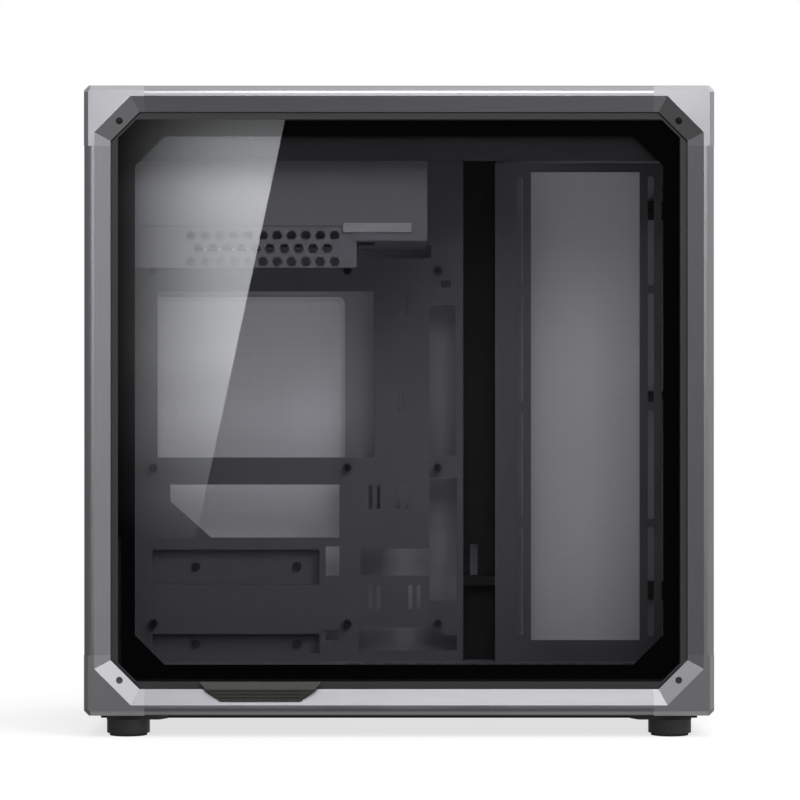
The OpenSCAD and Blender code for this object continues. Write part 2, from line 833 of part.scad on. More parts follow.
// Channel between the tray and the fan bracket
module cable_column() {
    left = tray_right;
    y = tray_y + column_depth - sheet;
    bar_z = board_z - column_bar_drop;
    color(black_plastic) {
        upright(y, sheet) difference() {
            patch(left, floor_top, bracket_left, roof_under);
            patch(left + 6, bar_z + 7, left + 12, bar_z + 32);
        }
        translate([bracket_left - sheet, tray_y + sheet, floor_top])
            cube([sheet, y - tray_y - sheet, roof_under - floor_top]);
        translate([left, tray_y + sheet, bar_z]) cube([bracket_left - left - sheet, y - tray_y - sheet, 7]);
    }
}

// Upright plate for fans or a cooler beside the tray
module side_fan_bracket() {
    low = floor_top;
    high = board_z + bracket_rise;
    middle = (bracket_left + bracket_right) / 2 + 5;
    window = 87;
    win_low = low + 17;
    win_high = high - 7;
    color(dark_steel) upright(tray_y, sheet) difference() {
        union() {
            patch(bracket_left - sheet, low, bracket_right, high);
            for (z = [low, (low + high) / 2 - 10, high - 20]) {
                patch(bracket_right - 1, z, seat_x - sheet, z + 20);
            }
        }
        patch(middle - window / 2, win_low, middle + window / 2, win_high);
        for (side = [-1, 1], i = [0:3]) {
            length = (win_high - win_low) / 4 - 6;
            translate([middle + side * fan_hole_pitch / 2, win_low + 3 + i * (length + 6) + length / 2])
                rotate(90) round_slot(length, fan_slot);
        }
    }
}

module upper_drive_plate() { drive_pan(upper_pan); }
module lower_drive_plate() { drive_pan(lower_pan); }

module drive_plate_screws() {
    y = tray_back + sheet + pan_depth;
    color([0.12, 0.12, 0.13]) for (x = drive_screws, p = [upper_pan, lower_pan]) {
        translate([board_x + x, y, board_z + (p[1] + p[3]) / 2]) rotate([90, 0, 0]) {
            cylinder(d = 7, h = 2);
            translate([0, 0, -5]) cylinder(d = screw_d - 0.2, h = 5);
        }
    }
}

// Floor of the case with folded edges that stand in the rails
module bottom_plate() {
    z = seat_low + floor_rise;
    color(dark_steel) {
        translate([0, 0, z]) linear_extrude(height = sheet) difference() {
            patch(-seat_x + sheet, -seat_y, seat_x - sheet, seat_y);
            translate([board_x + 285, -18]) vent_field(245, 130);
        }
        for (side = [0, 1]) {
            mirror([0, side, 0]) translate([-seat_x + sheet, seat_y - sheet, seat_low])
                cube([2 * seat_x - 2 * sheet, sheet, floor_rise]);
        }
    }
}

// Row of fan openings with their screw slots
module fan_row(count, along) {
    for (i = [0:count - 1]) {
        place = (i - (count - 1) / 2) * fan_size;
        translate(along ? [place, 0] : [0, place]) {
            circle(d = fan_size - 6);
            for (a = [-1, 1], b = [-1, 1]) {
                translate([a, b] * fan_hole_pitch / 2) circle(d = fan_slot);
            }
        }
    }
}

module front_fan_frame() {
    middle = (seat_low + seat_high) / 2;
    color(dark_steel) translate([seat_x - sheet, 0, 0]) rotate([90, 0, 90])
        linear_extrude(height = sheet) difference() {
            patch(-seat_y, seat_low, seat_y, seat_high);
            translate([0, middle]) fan_row(3, false);
            translate([0, low_z + case_height / 2]) at_studs(case_width, side_stud_heights)
                circle(r = bush_r + 0.1);
        }
}

// Top frame for fans, with an edge folded down behind the glass
module top_fan_frame() {
    color(dark_steel) {
        translate([0, 0, roof_under]) linear_extrude(height = sheet) difference() {
            patch(rear_face + sheet, -seat_y, seat_x - sheet, seat_y);
            fan_row(3, true);
            at_studs(case_length, top_stud_places) circle(r = bush_r + 0.1);
            translate([io_x, 0]) square([io_width - 6, io_length - 12], center = true);
        }
        upright(-seat_y, sheet)
            patch(rear_face + sheet, roof_under - roof_fold, seat_x - sheet, roof_under + sheet);
    }
}

// Runners under the frame that the filter slides in
module filter_runners() {
    color(black_plastic) for (side = [0, 1]) {
        mirror([0, side, 0])
            translate([-runner_length / 2, filter_width / 2 + panel_gap, low_z - runner_depth])
                rotate([90, 0, 90]) linear_extrude(height = runner_length) polygon([[-runner_hold, 0],
                [runner_wall, 0], [runner_wall, runner_depth], [0, runner_depth], [0, runner_ledge],
                [-runner_hold, runner_ledge]]);
    }
}

module bottom_filter_frame() {
    color(black_plastic) translate([0, 0, filter_low])
        linear_extrude(height = filter_thickness) difference() {
        patch(-filter_length / 2, -filter_width / 2, filter_length / 2, filter_width / 2);
        for (i = [-1:1]) {
            w = (filter_length - 4 * filter_border) / 3;
            translate([i * (w + filter_border) - w / 2, -filter_width / 2 + filter_border])
                square([w, filter_width - 2 * filter_border]);
        }
    }
}

module bottom_filter_mesh() {
    color([0.2, 0.2, 0.21]) translate([0, 0, filter_low + filter_thickness])
        linear_extrude(height = mesh_thickness)
        patch(-filter_length / 2 + 4, -filter_width / 2 + 4, filter_length / 2 - 4, filter_width / 2 - 4);
}

// Round foot on a plate with a pointed inner end
module foot(x_side, y_side) {
    plate = foot_plate;
    color(black_plastic) mirror([x_side > 0 ? 1 : 0, 0, 0]) mirror([0, y_side > 0 ? 1 : 0, 0])
        translate([-half_x + foot_inset_x, -half_y + foot_inset_y, 0]) {
            translate([0, 0, pad_thickness]) cylinder(d = foot_d, h = low_z - plate - pad_thickness);
            translate([0, 0, low_z - plate]) linear_extrude(height = plate)
                polygon([[-foot_d / 2 + 1, -foot_d / 2 + 3], [foot_d / 2 + 8, -foot_d / 2 + 3],
                         [foot_d / 2 + 14, -2], [foot_d / 2 + 8, 8], [-foot_d / 2 + 1, 8]]);
        }
}

module foot_rear_left() { foot(-1, -1); }
module foot_rear_right() { foot(-1, 1); }
module foot_front_left() { foot(1, -1); }
module foot_front_right() { foot(1, 1); }

module foot_pads() {
    color([0.05, 0.05, 0.05]) for (x = [-1, 1], y = [-1, 1]) {
        translate([x * (half_x - foot_inset_x), y * (half_y - foot_inset_y), 0])
            cylinder(d = foot_d - 4, h = pad_thickness);
    }
}

// Places a shape drawn along X on the line of the controls, across the case
module at_controls() { translate([io_x, 0, 0]) rotate([0, 0, 90]) children(); }

// Outline of a slot with round ends, along X
module round_slot(length, width) {
    square([length - width, width], center = true);
    for (side = [-1, 1]) {
        translate([side * (length - width) / 2, 0]) circle(d = width);
    }
}

// Housing of the buttons and ports, on the top frame and level with the top panel
module io_module() {
    color(black_plastic) at_controls() difference() {
        translate([0, 0, seat_high]) linear_extrude(height = io_top - seat_high) difference() {
            square([io_length, io_width], center = true);
            translate([power_place, 0]) circle(d = power_d + 2 * panel_gap);
            translate([reset_place, 0]) circle(d = reset_d + 2 * panel_gap);
        }
        for (x = usb_places) {
            translate([x - usb_w / 2, -usb_h / 2, io_top - port_depth]) cube([usb_w, usb_h, port_depth + 1]);
        }
        translate([usb_c_place, 0, io_top - port_depth]) linear_extrude(height = port_depth + 1)
            round_slot(usb_c_w, usb_c_h);
        translate([audio_place, 0, io_top - port_depth]) cylinder(d = audio_d + 2, h = port_depth + 1);
    }
}

// Metal shells and tongues of the ports, in their openings
module port_shells() {
    color([0.75, 0.75, 0.77]) at_controls() translate([0, 0, io_top - port_depth]) {
        for (x = usb_places) {
            translate([x, 0, 0]) linear_extrude(height = port_depth - 0.2) difference() {
                square([usb_w, usb_h], center = true);
                square([usb_w - 0.8, usb_h - 0.8], center = true);
            }
            translate([x - usb_w / 2 + 1, -1.6, 0]) cube([usb_w - 2, 1.8, port_depth - 1]);
        }
        translate([usb_c_place, 0, 0]) {
            linear_extrude(height = port_depth - 0.2) difference() {
                round_slot(usb_c_w, usb_c_h);
                round_slot(usb_c_w - 0.6, usb_c_h - 0.6);
            }
            translate([-3, -0.35, 0]) cube([6, 0.7, port_depth - 1]);
        }
        translate([audio_place, 0, 0]) linear_extrude(height = port_depth - 0.2) difference() {
            circle(d = audio_d + 2);
            circle(d = audio_d);
        }
    }
}

module button(place, d) {
    color(aluminium) at_controls() translate([place, 0, seat_high + button_travel + 1]) {
        cylinder(d = d, h = io_top - seat_high - button_travel - 1);
        translate([0, 0, io_top - seat_high - button_travel - 1]) cylinder(d = d - 1, h = 0.5);
    }
}

module power_button() { button(power_place, power_d); }
module reset_button() { button(reset_place, reset_d); }

top_left_rail();
top_right_rail();
bottom_left_rail();
bottom_right_rail();
rear_left_post();
rear_right_post();
front_left_post();
front_right_post();
top_rear_crossbar();
top_front_crossbar();
bottom_rear_crossbar();
bottom_front_crossbar();
corner_top_rear_left();
corner_top_rear_right();
corner_top_front_left();
corner_top_front_right();
corner_bottom_rear_left();
corner_bottom_rear_right();
corner_bottom_front_left();
corner_bottom_front_right();
glass_pane();
glass_frame();
pull_tab();
glass_studs();
right_side_panel();
side_panel_mesh();
right_panel_studs();
front_panel();
front_panel_studs();
top_panel();
top_panel_studs();
stud_sockets();
stud_bushes();
bottom_filter_frame();
bottom_filter_mesh();
filter_runners();
foot_rear_left();
foot_rear_right();
foot_front_left();
foot_front_right();
foot_pads();
motherboard_tray();
standoffs();
rear_panel();
slot_covers();
slot_thumb_screws();
psu_cover();
psu_bracket();
cable_column();
side_fan_bracket();
upper_drive_plate();
lower_drive_plate();
drive_plate_screws();
bottom_plate();
front_fan_frame();
top_fan_frame();
io_module();
port_shells();
power_button();
reset_button();
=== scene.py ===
"""Mid-tower computer case: finishes, trim and stage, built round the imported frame."""
import math

import bpy
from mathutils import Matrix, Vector


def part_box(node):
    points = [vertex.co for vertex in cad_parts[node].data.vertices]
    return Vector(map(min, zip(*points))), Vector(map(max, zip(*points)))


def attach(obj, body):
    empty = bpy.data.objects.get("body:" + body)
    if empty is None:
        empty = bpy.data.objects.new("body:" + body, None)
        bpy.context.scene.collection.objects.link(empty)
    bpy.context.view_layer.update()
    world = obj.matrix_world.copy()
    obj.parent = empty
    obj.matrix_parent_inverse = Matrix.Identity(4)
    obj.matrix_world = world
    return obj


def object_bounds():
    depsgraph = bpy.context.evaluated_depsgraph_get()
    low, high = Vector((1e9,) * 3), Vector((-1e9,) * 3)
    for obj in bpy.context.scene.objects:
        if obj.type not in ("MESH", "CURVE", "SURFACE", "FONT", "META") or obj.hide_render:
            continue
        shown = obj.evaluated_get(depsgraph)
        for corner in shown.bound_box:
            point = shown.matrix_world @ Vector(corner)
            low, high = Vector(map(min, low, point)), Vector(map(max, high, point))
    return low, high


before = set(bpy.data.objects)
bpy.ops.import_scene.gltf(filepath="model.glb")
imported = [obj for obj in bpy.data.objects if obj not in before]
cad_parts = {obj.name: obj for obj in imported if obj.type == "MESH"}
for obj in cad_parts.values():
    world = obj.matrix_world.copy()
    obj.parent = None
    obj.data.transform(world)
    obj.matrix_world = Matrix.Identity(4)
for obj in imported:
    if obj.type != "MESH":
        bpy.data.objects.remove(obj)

bl_info = {
    "name": "Mid-Tower Case Dresser",
    "version": (1, 0, 0),
    "blender": (4, 5, 0),
    "location": "View3D > Sidebar > Case",
    "description": "Finishes and details a mid-tower computer case on its frame",
    "category": "Add Mesh",
}

CAD_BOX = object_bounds()
GLASS_LOW, GLASS_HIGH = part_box("glass_pane")
CENTRE_Z = (GLASS_LOW[2] + GLASS_HIGH[2]) / 2
NEAR_Y = CAD_BOX[0][1]
# Where the camera looks straight at the case, and the plane of the card beside it
VIEW_X = 0.0007
VIEW_Z = 0.2504
CAMERA_DISTANCE = 2.30
CARD_Y = -2.42
# How far the slanted facets' normals turn from the outer face
FACET_OUT = 0.90
FACET_SIDE = 0.309


def length(name, text, default):
    return bpy.props.FloatProperty(name=name, description=text, default=default, unit="LENGTH", precision=5)


def colour(name, text, default):
    return bpy.props.FloatVectorProperty(name=name, description=text, default=default, subtype="COLOR",
                                         size=3, min=0.0, max=1.0)


class CaseSizes(bpy.types.PropertyGroup):
    """Sizes of the pieces that the dressing adds."""
    print_width: length("Print width", "Width of the black print round the glass", 0.0125)
    glass_corner: length("Glass corner", "Leg of the glass's cut corners", 0.0109)
    print_corner: length("Print corner", "Leg of the print's cut inner corners", 0.022)
    print_thickness: length("Print thickness", "Thickness of the printed band", 0.0002)
    screen_pitch: length("Screen pitch", "Distance between the threads of the dust screens", 0.0011)
    screw_diameter: length("Screw diameter", "Head of the screws in the corner blocks", 0.0052)
    plate_width: length("Plate width", "Width of the blank plate on the supply cover", 0.052)
    plate_height: length("Plate height", "Height of that plate", 0.0075)


class CaseColours(bpy.types.PropertyGroup):
    """Colours of the finishes."""
    aluminium: colour("Aluminium", "Anodised rails", (0.60, 0.60, 0.63))
    casting: colour("Casting", "Corner blocks", (0.74, 0.74, 0.77))
    steel: colour("Chassis", "Powder-coated chassis", (0.075, 0.075, 0.082))
    side_panel: colour("Side panel", "Right side panel", (0.34, 0.34, 0.36))
    panel_mesh: colour("Side mesh", "Woven mesh in the right side panel", (0.78, 0.78, 0.81))
    mesh_panel: colour("Mesh panels", "Front and top panels", (0.055, 0.055, 0.060))
    plastic: colour("Plastic", "Moulded black parts", (0.012, 0.012, 0.014))
    glass: colour("Glass", "Tint of the glass", (0.86, 0.86, 0.88))


def sizes():
    return bpy.context.scene.case_sizes


def colours():
    return bpy.context.scene.case_colours


# Node helpers

def link(tree, source, target):
    tree.links.new(source, target)


def add(tree, kind, **values):
    """A node with its attributes and named inputs set."""
    node = tree.nodes.new(kind)
    for name, value in values.items():
        if hasattr(node, name):
            setattr(node, name, value)
        else:
            node.inputs[name.replace("_", " ")].default_value = value
    return node


def new_group(name, inputs, outputs):
    """An empty shader group with the given sockets, and its input and output nodes."""
    group = bpy.data.node_groups.new(name, "ShaderNodeTree")
    for label, kind, default in inputs:
        socket = group.interface.new_socket(label, in_out="INPUT", socket_type=kind)
        if default is not None:
            socket.default_value = default
    for label, kind in outputs:
        group.interface.new_socket(label, in_out="OUTPUT", socket_type=kind)
    return group, group.nodes.new("NodeGroupInput"), group.nodes.new("NodeGroupOutput")


def math_node(tree, operation, a, b=None):
    node = tree.nodes.new("ShaderNodeMath")
    node.operation = operation
    for index, value in enumerate((a, b)):
        if value is None:
            continue
        if isinstance(value, (int, float)):
            node.inputs[index].default_value = value
        else:
            tree.links.new(value, node.inputs[index])
    return node.outputs[0]


def mix_colour(tree, factor, a, b):
    node = tree.nodes.new("ShaderNodeMix")
    node.data_type = "RGBA"
    for socket, value in ((node.inputs[0], factor), (node.inputs[6], a), (node.inputs[7], b)):
        if isinstance(value, (int, float, tuple)):
            socket.default_value = value
        else:
            tree.links.new(value, socket)
    return node.outputs[2]


def noise(tree, vector, scale, detail=3.0, roughness=0.55):
    node = tree.nodes.new("ShaderNodeTexNoise")
    node.inputs["Scale"].default_value = scale
    node.inputs["Detail"].default_value = detail
    node.inputs["Roughness"].default_value = roughness
    tree.links.new(vector, node.inputs["Vector"])
    return node.outputs["Fac"]


def bump(tree, height, strength, distance):
    node = tree.nodes.new("ShaderNodeBump")
    node.inputs["Distance"].default_value = distance
    if isinstance(strength, (int, float)):
        node.inputs["Strength"].default_value = strength
    else:
        tree.links.new(strength, node.inputs["Strength"])
    tree.links.new(height, node.inputs["Height"])
    return node.outputs["Normal"]


def coat_group():
    """Powder coat or moulded grain: fine pebbling, slow mottling and dust on faces that look up."""
    group, start, end = new_group("Coat Grain", [
        ("Vector", "NodeSocketVector", None), ("Color", "NodeSocketColor", (0.1, 0.1, 0.1, 1)),
        ("Roughness", "NodeSocketFloat", 0.5), ("Grain", "NodeSocketFloat", 0.3),
        ("Mottle", "NodeSocketFloat", 0.15), ("Dust", "NodeSocketFloat", 0.1)],
        [("Color", "NodeSocketColor"), ("Roughness", "NodeSocketFloat"), ("Normal", "NodeSocketVector")])
    fine = noise(group, start.outputs["Vector"], 1400, 2)
    slow = noise(group, start.outputs["Vector"], 22, 4, 0.6)
    shift = math_node(group, "SUBTRACT", slow, 0.5)
    shift = math_node(group, "MULTIPLY", shift, start.outputs["Mottle"])
    bright = add(group, "ShaderNodeHueSaturation")
    link(group, start.outputs["Color"], bright.inputs["Color"])
    link(group, math_node(group, "ADD", shift, 1.0), bright.inputs["Value"])
    normal = add(group, "ShaderNodeNewGeometry")
    split = add(group, "ShaderNodeSeparateXYZ")
    link(group, normal.outputs["Normal"], split.inputs[0])
    up = math_node(group, "MAXIMUM", split.outputs["Z"], 0.0)
    speck = math_node(group, "MULTIPLY", noise(group, start.outputs["Vector"], 160, 5, 0.7), up)
    dust = math_node(group, "MULTIPLY", speck, start.outputs["Dust"])
    link(group, mix_colour(group, dust, bright.outputs[0], (0.5, 0.49, 0.47, 1)), end.inputs["Color"])
    rough = math_node(group, "ADD", start.outputs["Roughness"], math_node(group, "MULTIPLY", shift, 0.6))
    link(group, math_node(group, "ADD", rough, dust), end.inputs["Roughness"])
    link(group, bump(group, fine, start.outputs["Grain"], 0.0002), end.inputs["Normal"])
    return group


def metal_group():
    """Drawn or cast metal: grain that runs along the piece, handling marks and a fine tooth."""
    group, start, end = new_group("Metal Grain", [
        ("Vector", "NodeSocketVector", None), ("Color", "NodeSocketColor", (0.6, 0.6, 0.6, 1)),
        ("Roughness", "NodeSocketFloat", 0.35), ("Stretch", "NodeSocketVector", (1, 1, 1)),
        ("Grain", "NodeSocketFloat", 0.2), ("Marks", "NodeSocketFloat", 0.1)],
        [("Color", "NodeSocketColor"), ("Roughness", "NodeSocketFloat"), ("Normal", "NodeSocketVector")])
    scaled = add(group, "ShaderNodeVectorMath", operation="MULTIPLY")
    link(group, start.outputs["Vector"], scaled.inputs[0])
    link(group, start.outputs["Stretch"], scaled.inputs[1])
    drawn = noise(group, scaled.outputs[0], 900, 3)
    tooth = noise(group, start.outputs["Vector"], 2600, 1)
    slow = noise(group, start.outputs["Vector"], 14, 5, 0.65)
    marks = math_node(group, "MULTIPLY", math_node(group, "SUBTRACT", slow, 0.5), start.outputs["Marks"])
    bright = add(group, "ShaderNodeHueSaturation")
    link(group, start.outputs["Color"], bright.inputs["Color"])
    line = math_node(group, "MULTIPLY", math_node(group, "SUBTRACT", drawn, 0.5), start.outputs["Grain"])
    value = math_node(group, "ADD", math_node(group, "ADD", line, marks), 1.0)
    link(group, value, bright.inputs["Value"])
    link(group, bright.outputs[0], end.inputs["Color"])
    rough = math_node(group, "ADD", start.outputs["Roughness"], math_node(group, "MULTIPLY", line, 0.5))
    link(group, math_node(group, "ADD", rough, marks), end.inputs["Roughness"])
    height = math_node(group, "ADD", drawn, math_node(group, "MULTIPLY", tooth, 0.5))
    link(group, bump(group, height, start.outputs["Grain"], 0.00012), end.inputs["Normal"])
    return group


def screen_group():
    """Square weave of round threads: a mask that is open between them, and their height."""
    group, start, end = new_group("Woven Screen", [
        ("U", "NodeSocketFloat", 0.0), ("V", "NodeSocketFloat", 0.0), ("Pitch", "NodeSocketFloat", 0.001),
        ("Open", "NodeSocketFloat", 0.5)], [("Thread", "NodeSocketFloat"), ("Height", "NodeSocketFloat")])
    waves = []
    for name in ("U", "V"):
        turn = math_node(group, "DIVIDE", start.outputs[name], start.outputs["Pitch"])
        triangle = math_node(group, "PINGPONG", turn, 0.5)
        waves.append(math_node(group, "MULTIPLY", triangle, 2.0))
    low = math_node(group, "MINIMUM", waves[0], waves[1])
    link(group, math_node(group, "LESS_THAN", low, math_node(group, "SUBTRACT", 1.0, start.outputs["Open"])),
         end.inputs["Thread"])
    link(group, math_node(group, "SUBTRACT", 1.0, low), end.inputs["Height"])
    return group


def principled(name):
    """A material with a Principled shader: the material, its tree, the shader and object coordinates."""
    material = bpy.data.materials.new(name)
    material.use_nodes = True
    tree = material.node_tree
    shader = tree.nodes["Principled BSDF"]
    coords = tree.nodes.new("ShaderNodeTexCoord")
    return material, tree, shader, coords.outputs["Object"]


def rgba(value):
    return (value[0], value[1], value[2], 1.0)


def shade(tint, factor):
    return tuple(c * factor for c in tint)


def grained(name, group_name, **values):
    """A material whose colour, roughness and normal come from a grain group: it and its shader."""
    material, tree, shader, coords = principled(name)
    group = tree.nodes.new("ShaderNodeGroup")
    group.node_tree = bpy.data.node_groups[group_name]
    link(tree, coords, group.inputs["Vector"])
    for label, value in values.items():
        group.inputs[label].default_value = value
    for output, socket in (("Color", "Base Color"), ("Roughness", "Roughness"), ("Normal", "Normal")):
        link(tree, group.outputs[output], shader.inputs[socket])
    return material, shader


def coated(name, tint, roughness, grain=0.3, mottle=0.15, dust=0.1, specular=0.4):
    """Powder coat or moulded plastic."""
    material, shader = grained(name, "Coat Grain", Color=rgba(tint), Roughness=roughness, Grain=grain,
                               Mottle=mottle, Dust=dust)
    shader.inputs["Specular IOR Level"].default_value = specular
    return material


def metal(name, tint, roughness, stretch=(1, 1, 1), grain=0.2, marks=0.1):
    """Bare, anodised or plated metal, with its grain along the axis that is stretched least."""
    material, shader = grained(name, "Metal Grain", Color=rgba(tint), Roughness=roughness,
                               Stretch=stretch, Grain=grain, Marks=marks)
    shader.inputs["Metallic"].default_value = 1.0
    return material


def paint(material, *nodes):
    """Gives CAD nodes their material."""
    for node in nodes:
        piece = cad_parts[node]
        piece.data.materials.clear()
        piece.data.materials.append(material)


def glass_material(tint):
    """Clear tinted glass that lets light through to the inside."""
    material, tree, shader, coords = principled("tinted_glass")
    shader.inputs["Base Color"].default_value = rgba(tint)
    shader.inputs["Metallic"].default_value = 0.0
    shader.inputs["Transmission Weight"].default_value = 1.0
    shader.inputs["IOR"].default_value = 1.5
    smear = noise(tree, coords, 30, 6, 0.7)
    link(tree, math_node(tree, "MULTIPLY", smear, 0.012), shader.inputs["Roughness"])
    clear = add(tree, "ShaderNodeBsdfTransparent", Color=rgba(tint))
    path = tree.nodes.new("ShaderNodeLightPath")
    through = math_node(tree, "MAXIMUM", path.outputs["Is Shadow Ray"], path.outputs["Is Diffuse Ray"])
    mix = tree.nodes.new("ShaderNodeMixShader")
    link(tree, through, mix.inputs[0])
    link(tree, shader.outputs[0], mix.inputs[1])
    link(tree, clear.outputs[0], mix.inputs[2])
    link(tree, mix.outputs[0], tree.nodes["Material Output"].inputs["Surface"])
    return material


def screen_material(name, tint, pitch, across, up, gaps=0.55):
    """Fine woven screen seen through the vents; across and up are the axes that it lies along."""
    material, tree, shader, coords = principled(name)
    split = add(tree, "ShaderNodeSeparateXYZ")
    link(tree, coords, split.inputs[0])
    group = tree.nodes.new("ShaderNodeGroup")
    group.node_tree = bpy.data.node_groups["Woven Screen"]
    link(tree, split.outputs[across], group.inputs["U"])
    link(tree, split.outputs[up], group.inputs["V"])
    group.inputs["Pitch"].default_value = pitch
    group.inputs["Open"].default_value = gaps
    shader.inputs["Base Color"].default_value = rgba(tint)
    shader.inputs["Roughness"].default_value = 0.55
    link(tree, group.outputs["Thread"], shader.inputs["Alpha"])
    link(tree, bump(tree, group.outputs["Height"], 0.6, 0.0003), shader.inputs["Normal"])
    return material


# Modelling helpers

def deselect():
    if bpy.context.object and bpy.context.object.mode != "OBJECT":
        bpy.ops.object.mode_set(mode="OBJECT")
    bpy.ops.object.select_all(action="DESELECT")


def begin(name):
    """Names the new primitive and leaves it alone selected."""
    piece = bpy.context.object
    piece.name = piece.data.name = name
    return piece


def choose(piece):
    """Leaves the piece alone selected and active."""
    deselect()
    piece.select_set(True)
    bpy.context.view_layer.objects.active = piece


def settle(piece, body, material):
    """Moves the piece's place into its mesh, and gives it its finish and its body."""
    choose(piece)
    bpy.ops.object.transform_apply(location=True, rotation=True, scale=True)
    piece.data.materials.clear()
    piece.data.materials.append(material)
    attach(piece, body)


def select_faces(piece, test):
    """In edit mode, selects the faces for which test(centre, normal) holds."""
    bpy.ops.mesh.select_all(action="DESELECT")
    bpy.ops.object.mode_set(mode="OBJECT")
    for face in piece.data.polygons:
        face.select = test(face.center, face.normal)
    bpy.ops.object.mode_set(mode="EDIT")


def apply_modifiers(piece):
    choose(piece)
    for modifier in list(piece.modifiers):
        bpy.ops.object.modifier_apply(modifier=modifier.name)


class PaintFrame(bpy.types.Operator):
    """Gives every piece of the frame its finish"""
    bl_idname = "case.paint_frame"
    bl_label = "Paint the frame"

    def execute(self, context):
        coat_group()
        metal_group()
        screen_group()
        tint = colours()
        along = {"rail": (0.03, 1, 1), "crossbar": (1, 0.03, 1), "post": (1, 1, 0.03)}
        for kind, stretch in along.items():
            rail = metal("anodised_" + kind, tint.aluminium, 0.34, stretch, 0.16, 0.08)
            paint(rail, *[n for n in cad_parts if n.endswith("_" + kind)])
        cast = metal("cast_corner", tint.casting, 0.30, (1, 1, 1), 0.05, 0.06)
        paint(cast, *[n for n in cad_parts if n.startswith("corner_")])
        paint(cast, "power_button", "reset_button")
        paint(glass_material(tint.glass), "glass_pane")
        trim = coated("panel_trim", shade(tint.mesh_panel, 0.5), 0.42, 0.25, 0.12, 0.04)
        paint(trim, "glass_frame")
        steel = coated("chassis_coat", tint.steel, 0.50, 0.35, 0.16, 0.10)
        paint(steel, "motherboard_tray", "rear_panel", "slot_covers", "psu_bracket",
              "side_fan_bracket", "upper_drive_plate", "lower_drive_plate", "bottom_plate",
              "front_fan_frame")
        # The roof's fan frame gets a near-black copy of the chassis coat: painted shade for the unlit top of
        # the case behind the glass.
        roof = coated("roof_painted_shade", shade(tint.steel, 0.12), 0.60, 0.30, 0.15, 0.04, 0.2)
        paint(roof, "top_fan_frame")
        # The supply cover gets a lighter copy of the chassis coat: painted light, because the cover is
        # better lit than the tray behind it.
        cover = coated("cover_coat_painted_light", shade(tint.steel, 1.12), 0.46, 0.30, 0.12, 0.06)
        paint(cover, "psu_cover")
        paint(coated("side_panel_coat", tint.side_panel, 0.45, 0.30, 0.10, 0.05), "right_side_panel")
        paint(screen_material("side_mesh", tint.panel_mesh, 0.0009, "X", "Z", 0.39), "side_panel_mesh")
        paint(coated("mesh_panel_coat", tint.mesh_panel, 0.48, 0.35, 0.14, 0.12), "front_panel", "top_panel")
        plastic = coated("moulded_black", tint.plastic, 0.45, 0.30, 0.20, 0.12)
        paint(plastic, "glass_studs", "right_panel_studs", "front_panel_studs", "top_panel_studs",
              "stud_sockets", "stud_bushes", "bottom_filter_frame", "filter_runners", "io_module")
        # The cable column is black plastic at half the moulded black's brightness: the halving is painted
        # shade for the deep gap behind the tray that the column fills.
        column = coated("column_black_painted_shade", shade(tint.plastic, 0.5), 0.60, 0.20, 0.15, 0.03, 0.2)
        paint(column, "cable_column")
        tab = coated("tab_black", (0.030, 0.030, 0.026), 0.50, 0.40, 0.25, 0.10)
        paint(tab, "pull_tab")
        feet = coated("foot_black", (0.022, 0.022, 0.024), 0.30, 0.15, 0.20, 0.10, 0.5)
        paint(feet, *[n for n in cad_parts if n.startswith("foot_") and n != "foot_pads"])
        paint(coated("pad_rubber", (0.02, 0.02, 0.02), 0.80, 0.50, 0.30, 0.20), "foot_pads")
        filter_cloth = screen_material("filter_cloth", (0.03, 0.03, 0.03), 0.0008, "X", "Y")
        paint(filter_cloth, "bottom_filter_mesh")
        paint(metal("plated_steel", (0.60, 0.60, 0.62), 0.25, (1, 1, 1), 0.20, 0.12),
              "slot_thumb_screws", "port_shells")
        paint(metal("black_oxide", (0.05, 0.05, 0.055), 0.40, (1, 1, 1), 0.20, 0.15),
              "drive_plate_screws", "standoffs")
        return {"FINISHED"}


class AddGlassPrint(bpy.types.Operator):
    """Black band printed on the back of the glass, with cut inner corners"""
    bl_idname = "case.add_glass_print"
    bl_label = "Add the print on the glass"

    def execute(self, context):
        size = sizes()
        low, high = GLASS_LOW, GLASS_HIGH
        wide, tall = high[0] - low[0], high[2] - low[2]
        deselect()
        bpy.ops.mesh.primitive_plane_add(
            size=1, location=((low[0] + high[0]) / 2, high[1] - size.print_thickness, CENTRE_Z))
        piece = begin("glass_print")
        piece.scale = (wide, tall, 1)
        piece.rotation_euler = (math.pi / 2, 0, 0)
        bpy.ops.object.transform_apply(location=False, rotation=False, scale=True)
        bpy.ops.object.mode_set(mode="EDIT")
        bpy.ops.mesh.bevel(offset=size.glass_corner, affect="VERTICES", segments=1)
        bpy.ops.mesh.select_all(action="SELECT")
        bpy.ops.mesh.inset(thickness=size.print_width, depth=0)
        bpy.ops.mesh.delete(type="ONLY_FACE")
        inner = (wide / 2 - size.print_width, tall / 2 - size.print_width)
        for axis in (0, 1):
            self.pull_corners(piece, axis, inner, size.print_corner)
        bpy.ops.object.mode_set(mode="OBJECT")
        ring = piece.modifiers.new("thickness", "SOLIDIFY")
        ring.thickness = size.print_thickness
        ring.offset = 0
        apply_modifiers(piece)
        settle(piece, "glass_side",
               coated("ceramic_print", (0.001, 0.001, 0.0012), 0.50, 0.05, 0.10, 0.0, 0.0))
        return {"FINISHED"}

    def pull_corners(self, piece, axis, inner, leg):
        """Moves the inner edge's ends along one axis, so that each inner corner is cut by leg."""
        bpy.ops.mesh.select_all(action="DESELECT")
        bpy.ops.object.mode_set(mode="OBJECT")
        across = 1 - axis
        ends = [v for v in piece.data.vertices if abs(abs(v.co[across]) - inner[across]) < 0.0003
                and abs(v.co[axis]) < inner[axis] - 0.0003]
        for vertex in ends:
            vertex.select = True
        reach = abs(ends[0].co[axis])
        bpy.ops.object.mode_set(mode="EDIT")
        factor = [1.0, 1.0, 1.0]
        factor[2 if axis == 1 else 0] = (inner[axis] - leg) / reach
        bpy.ops.transform.resize(value=factor, center_override=piece.location)


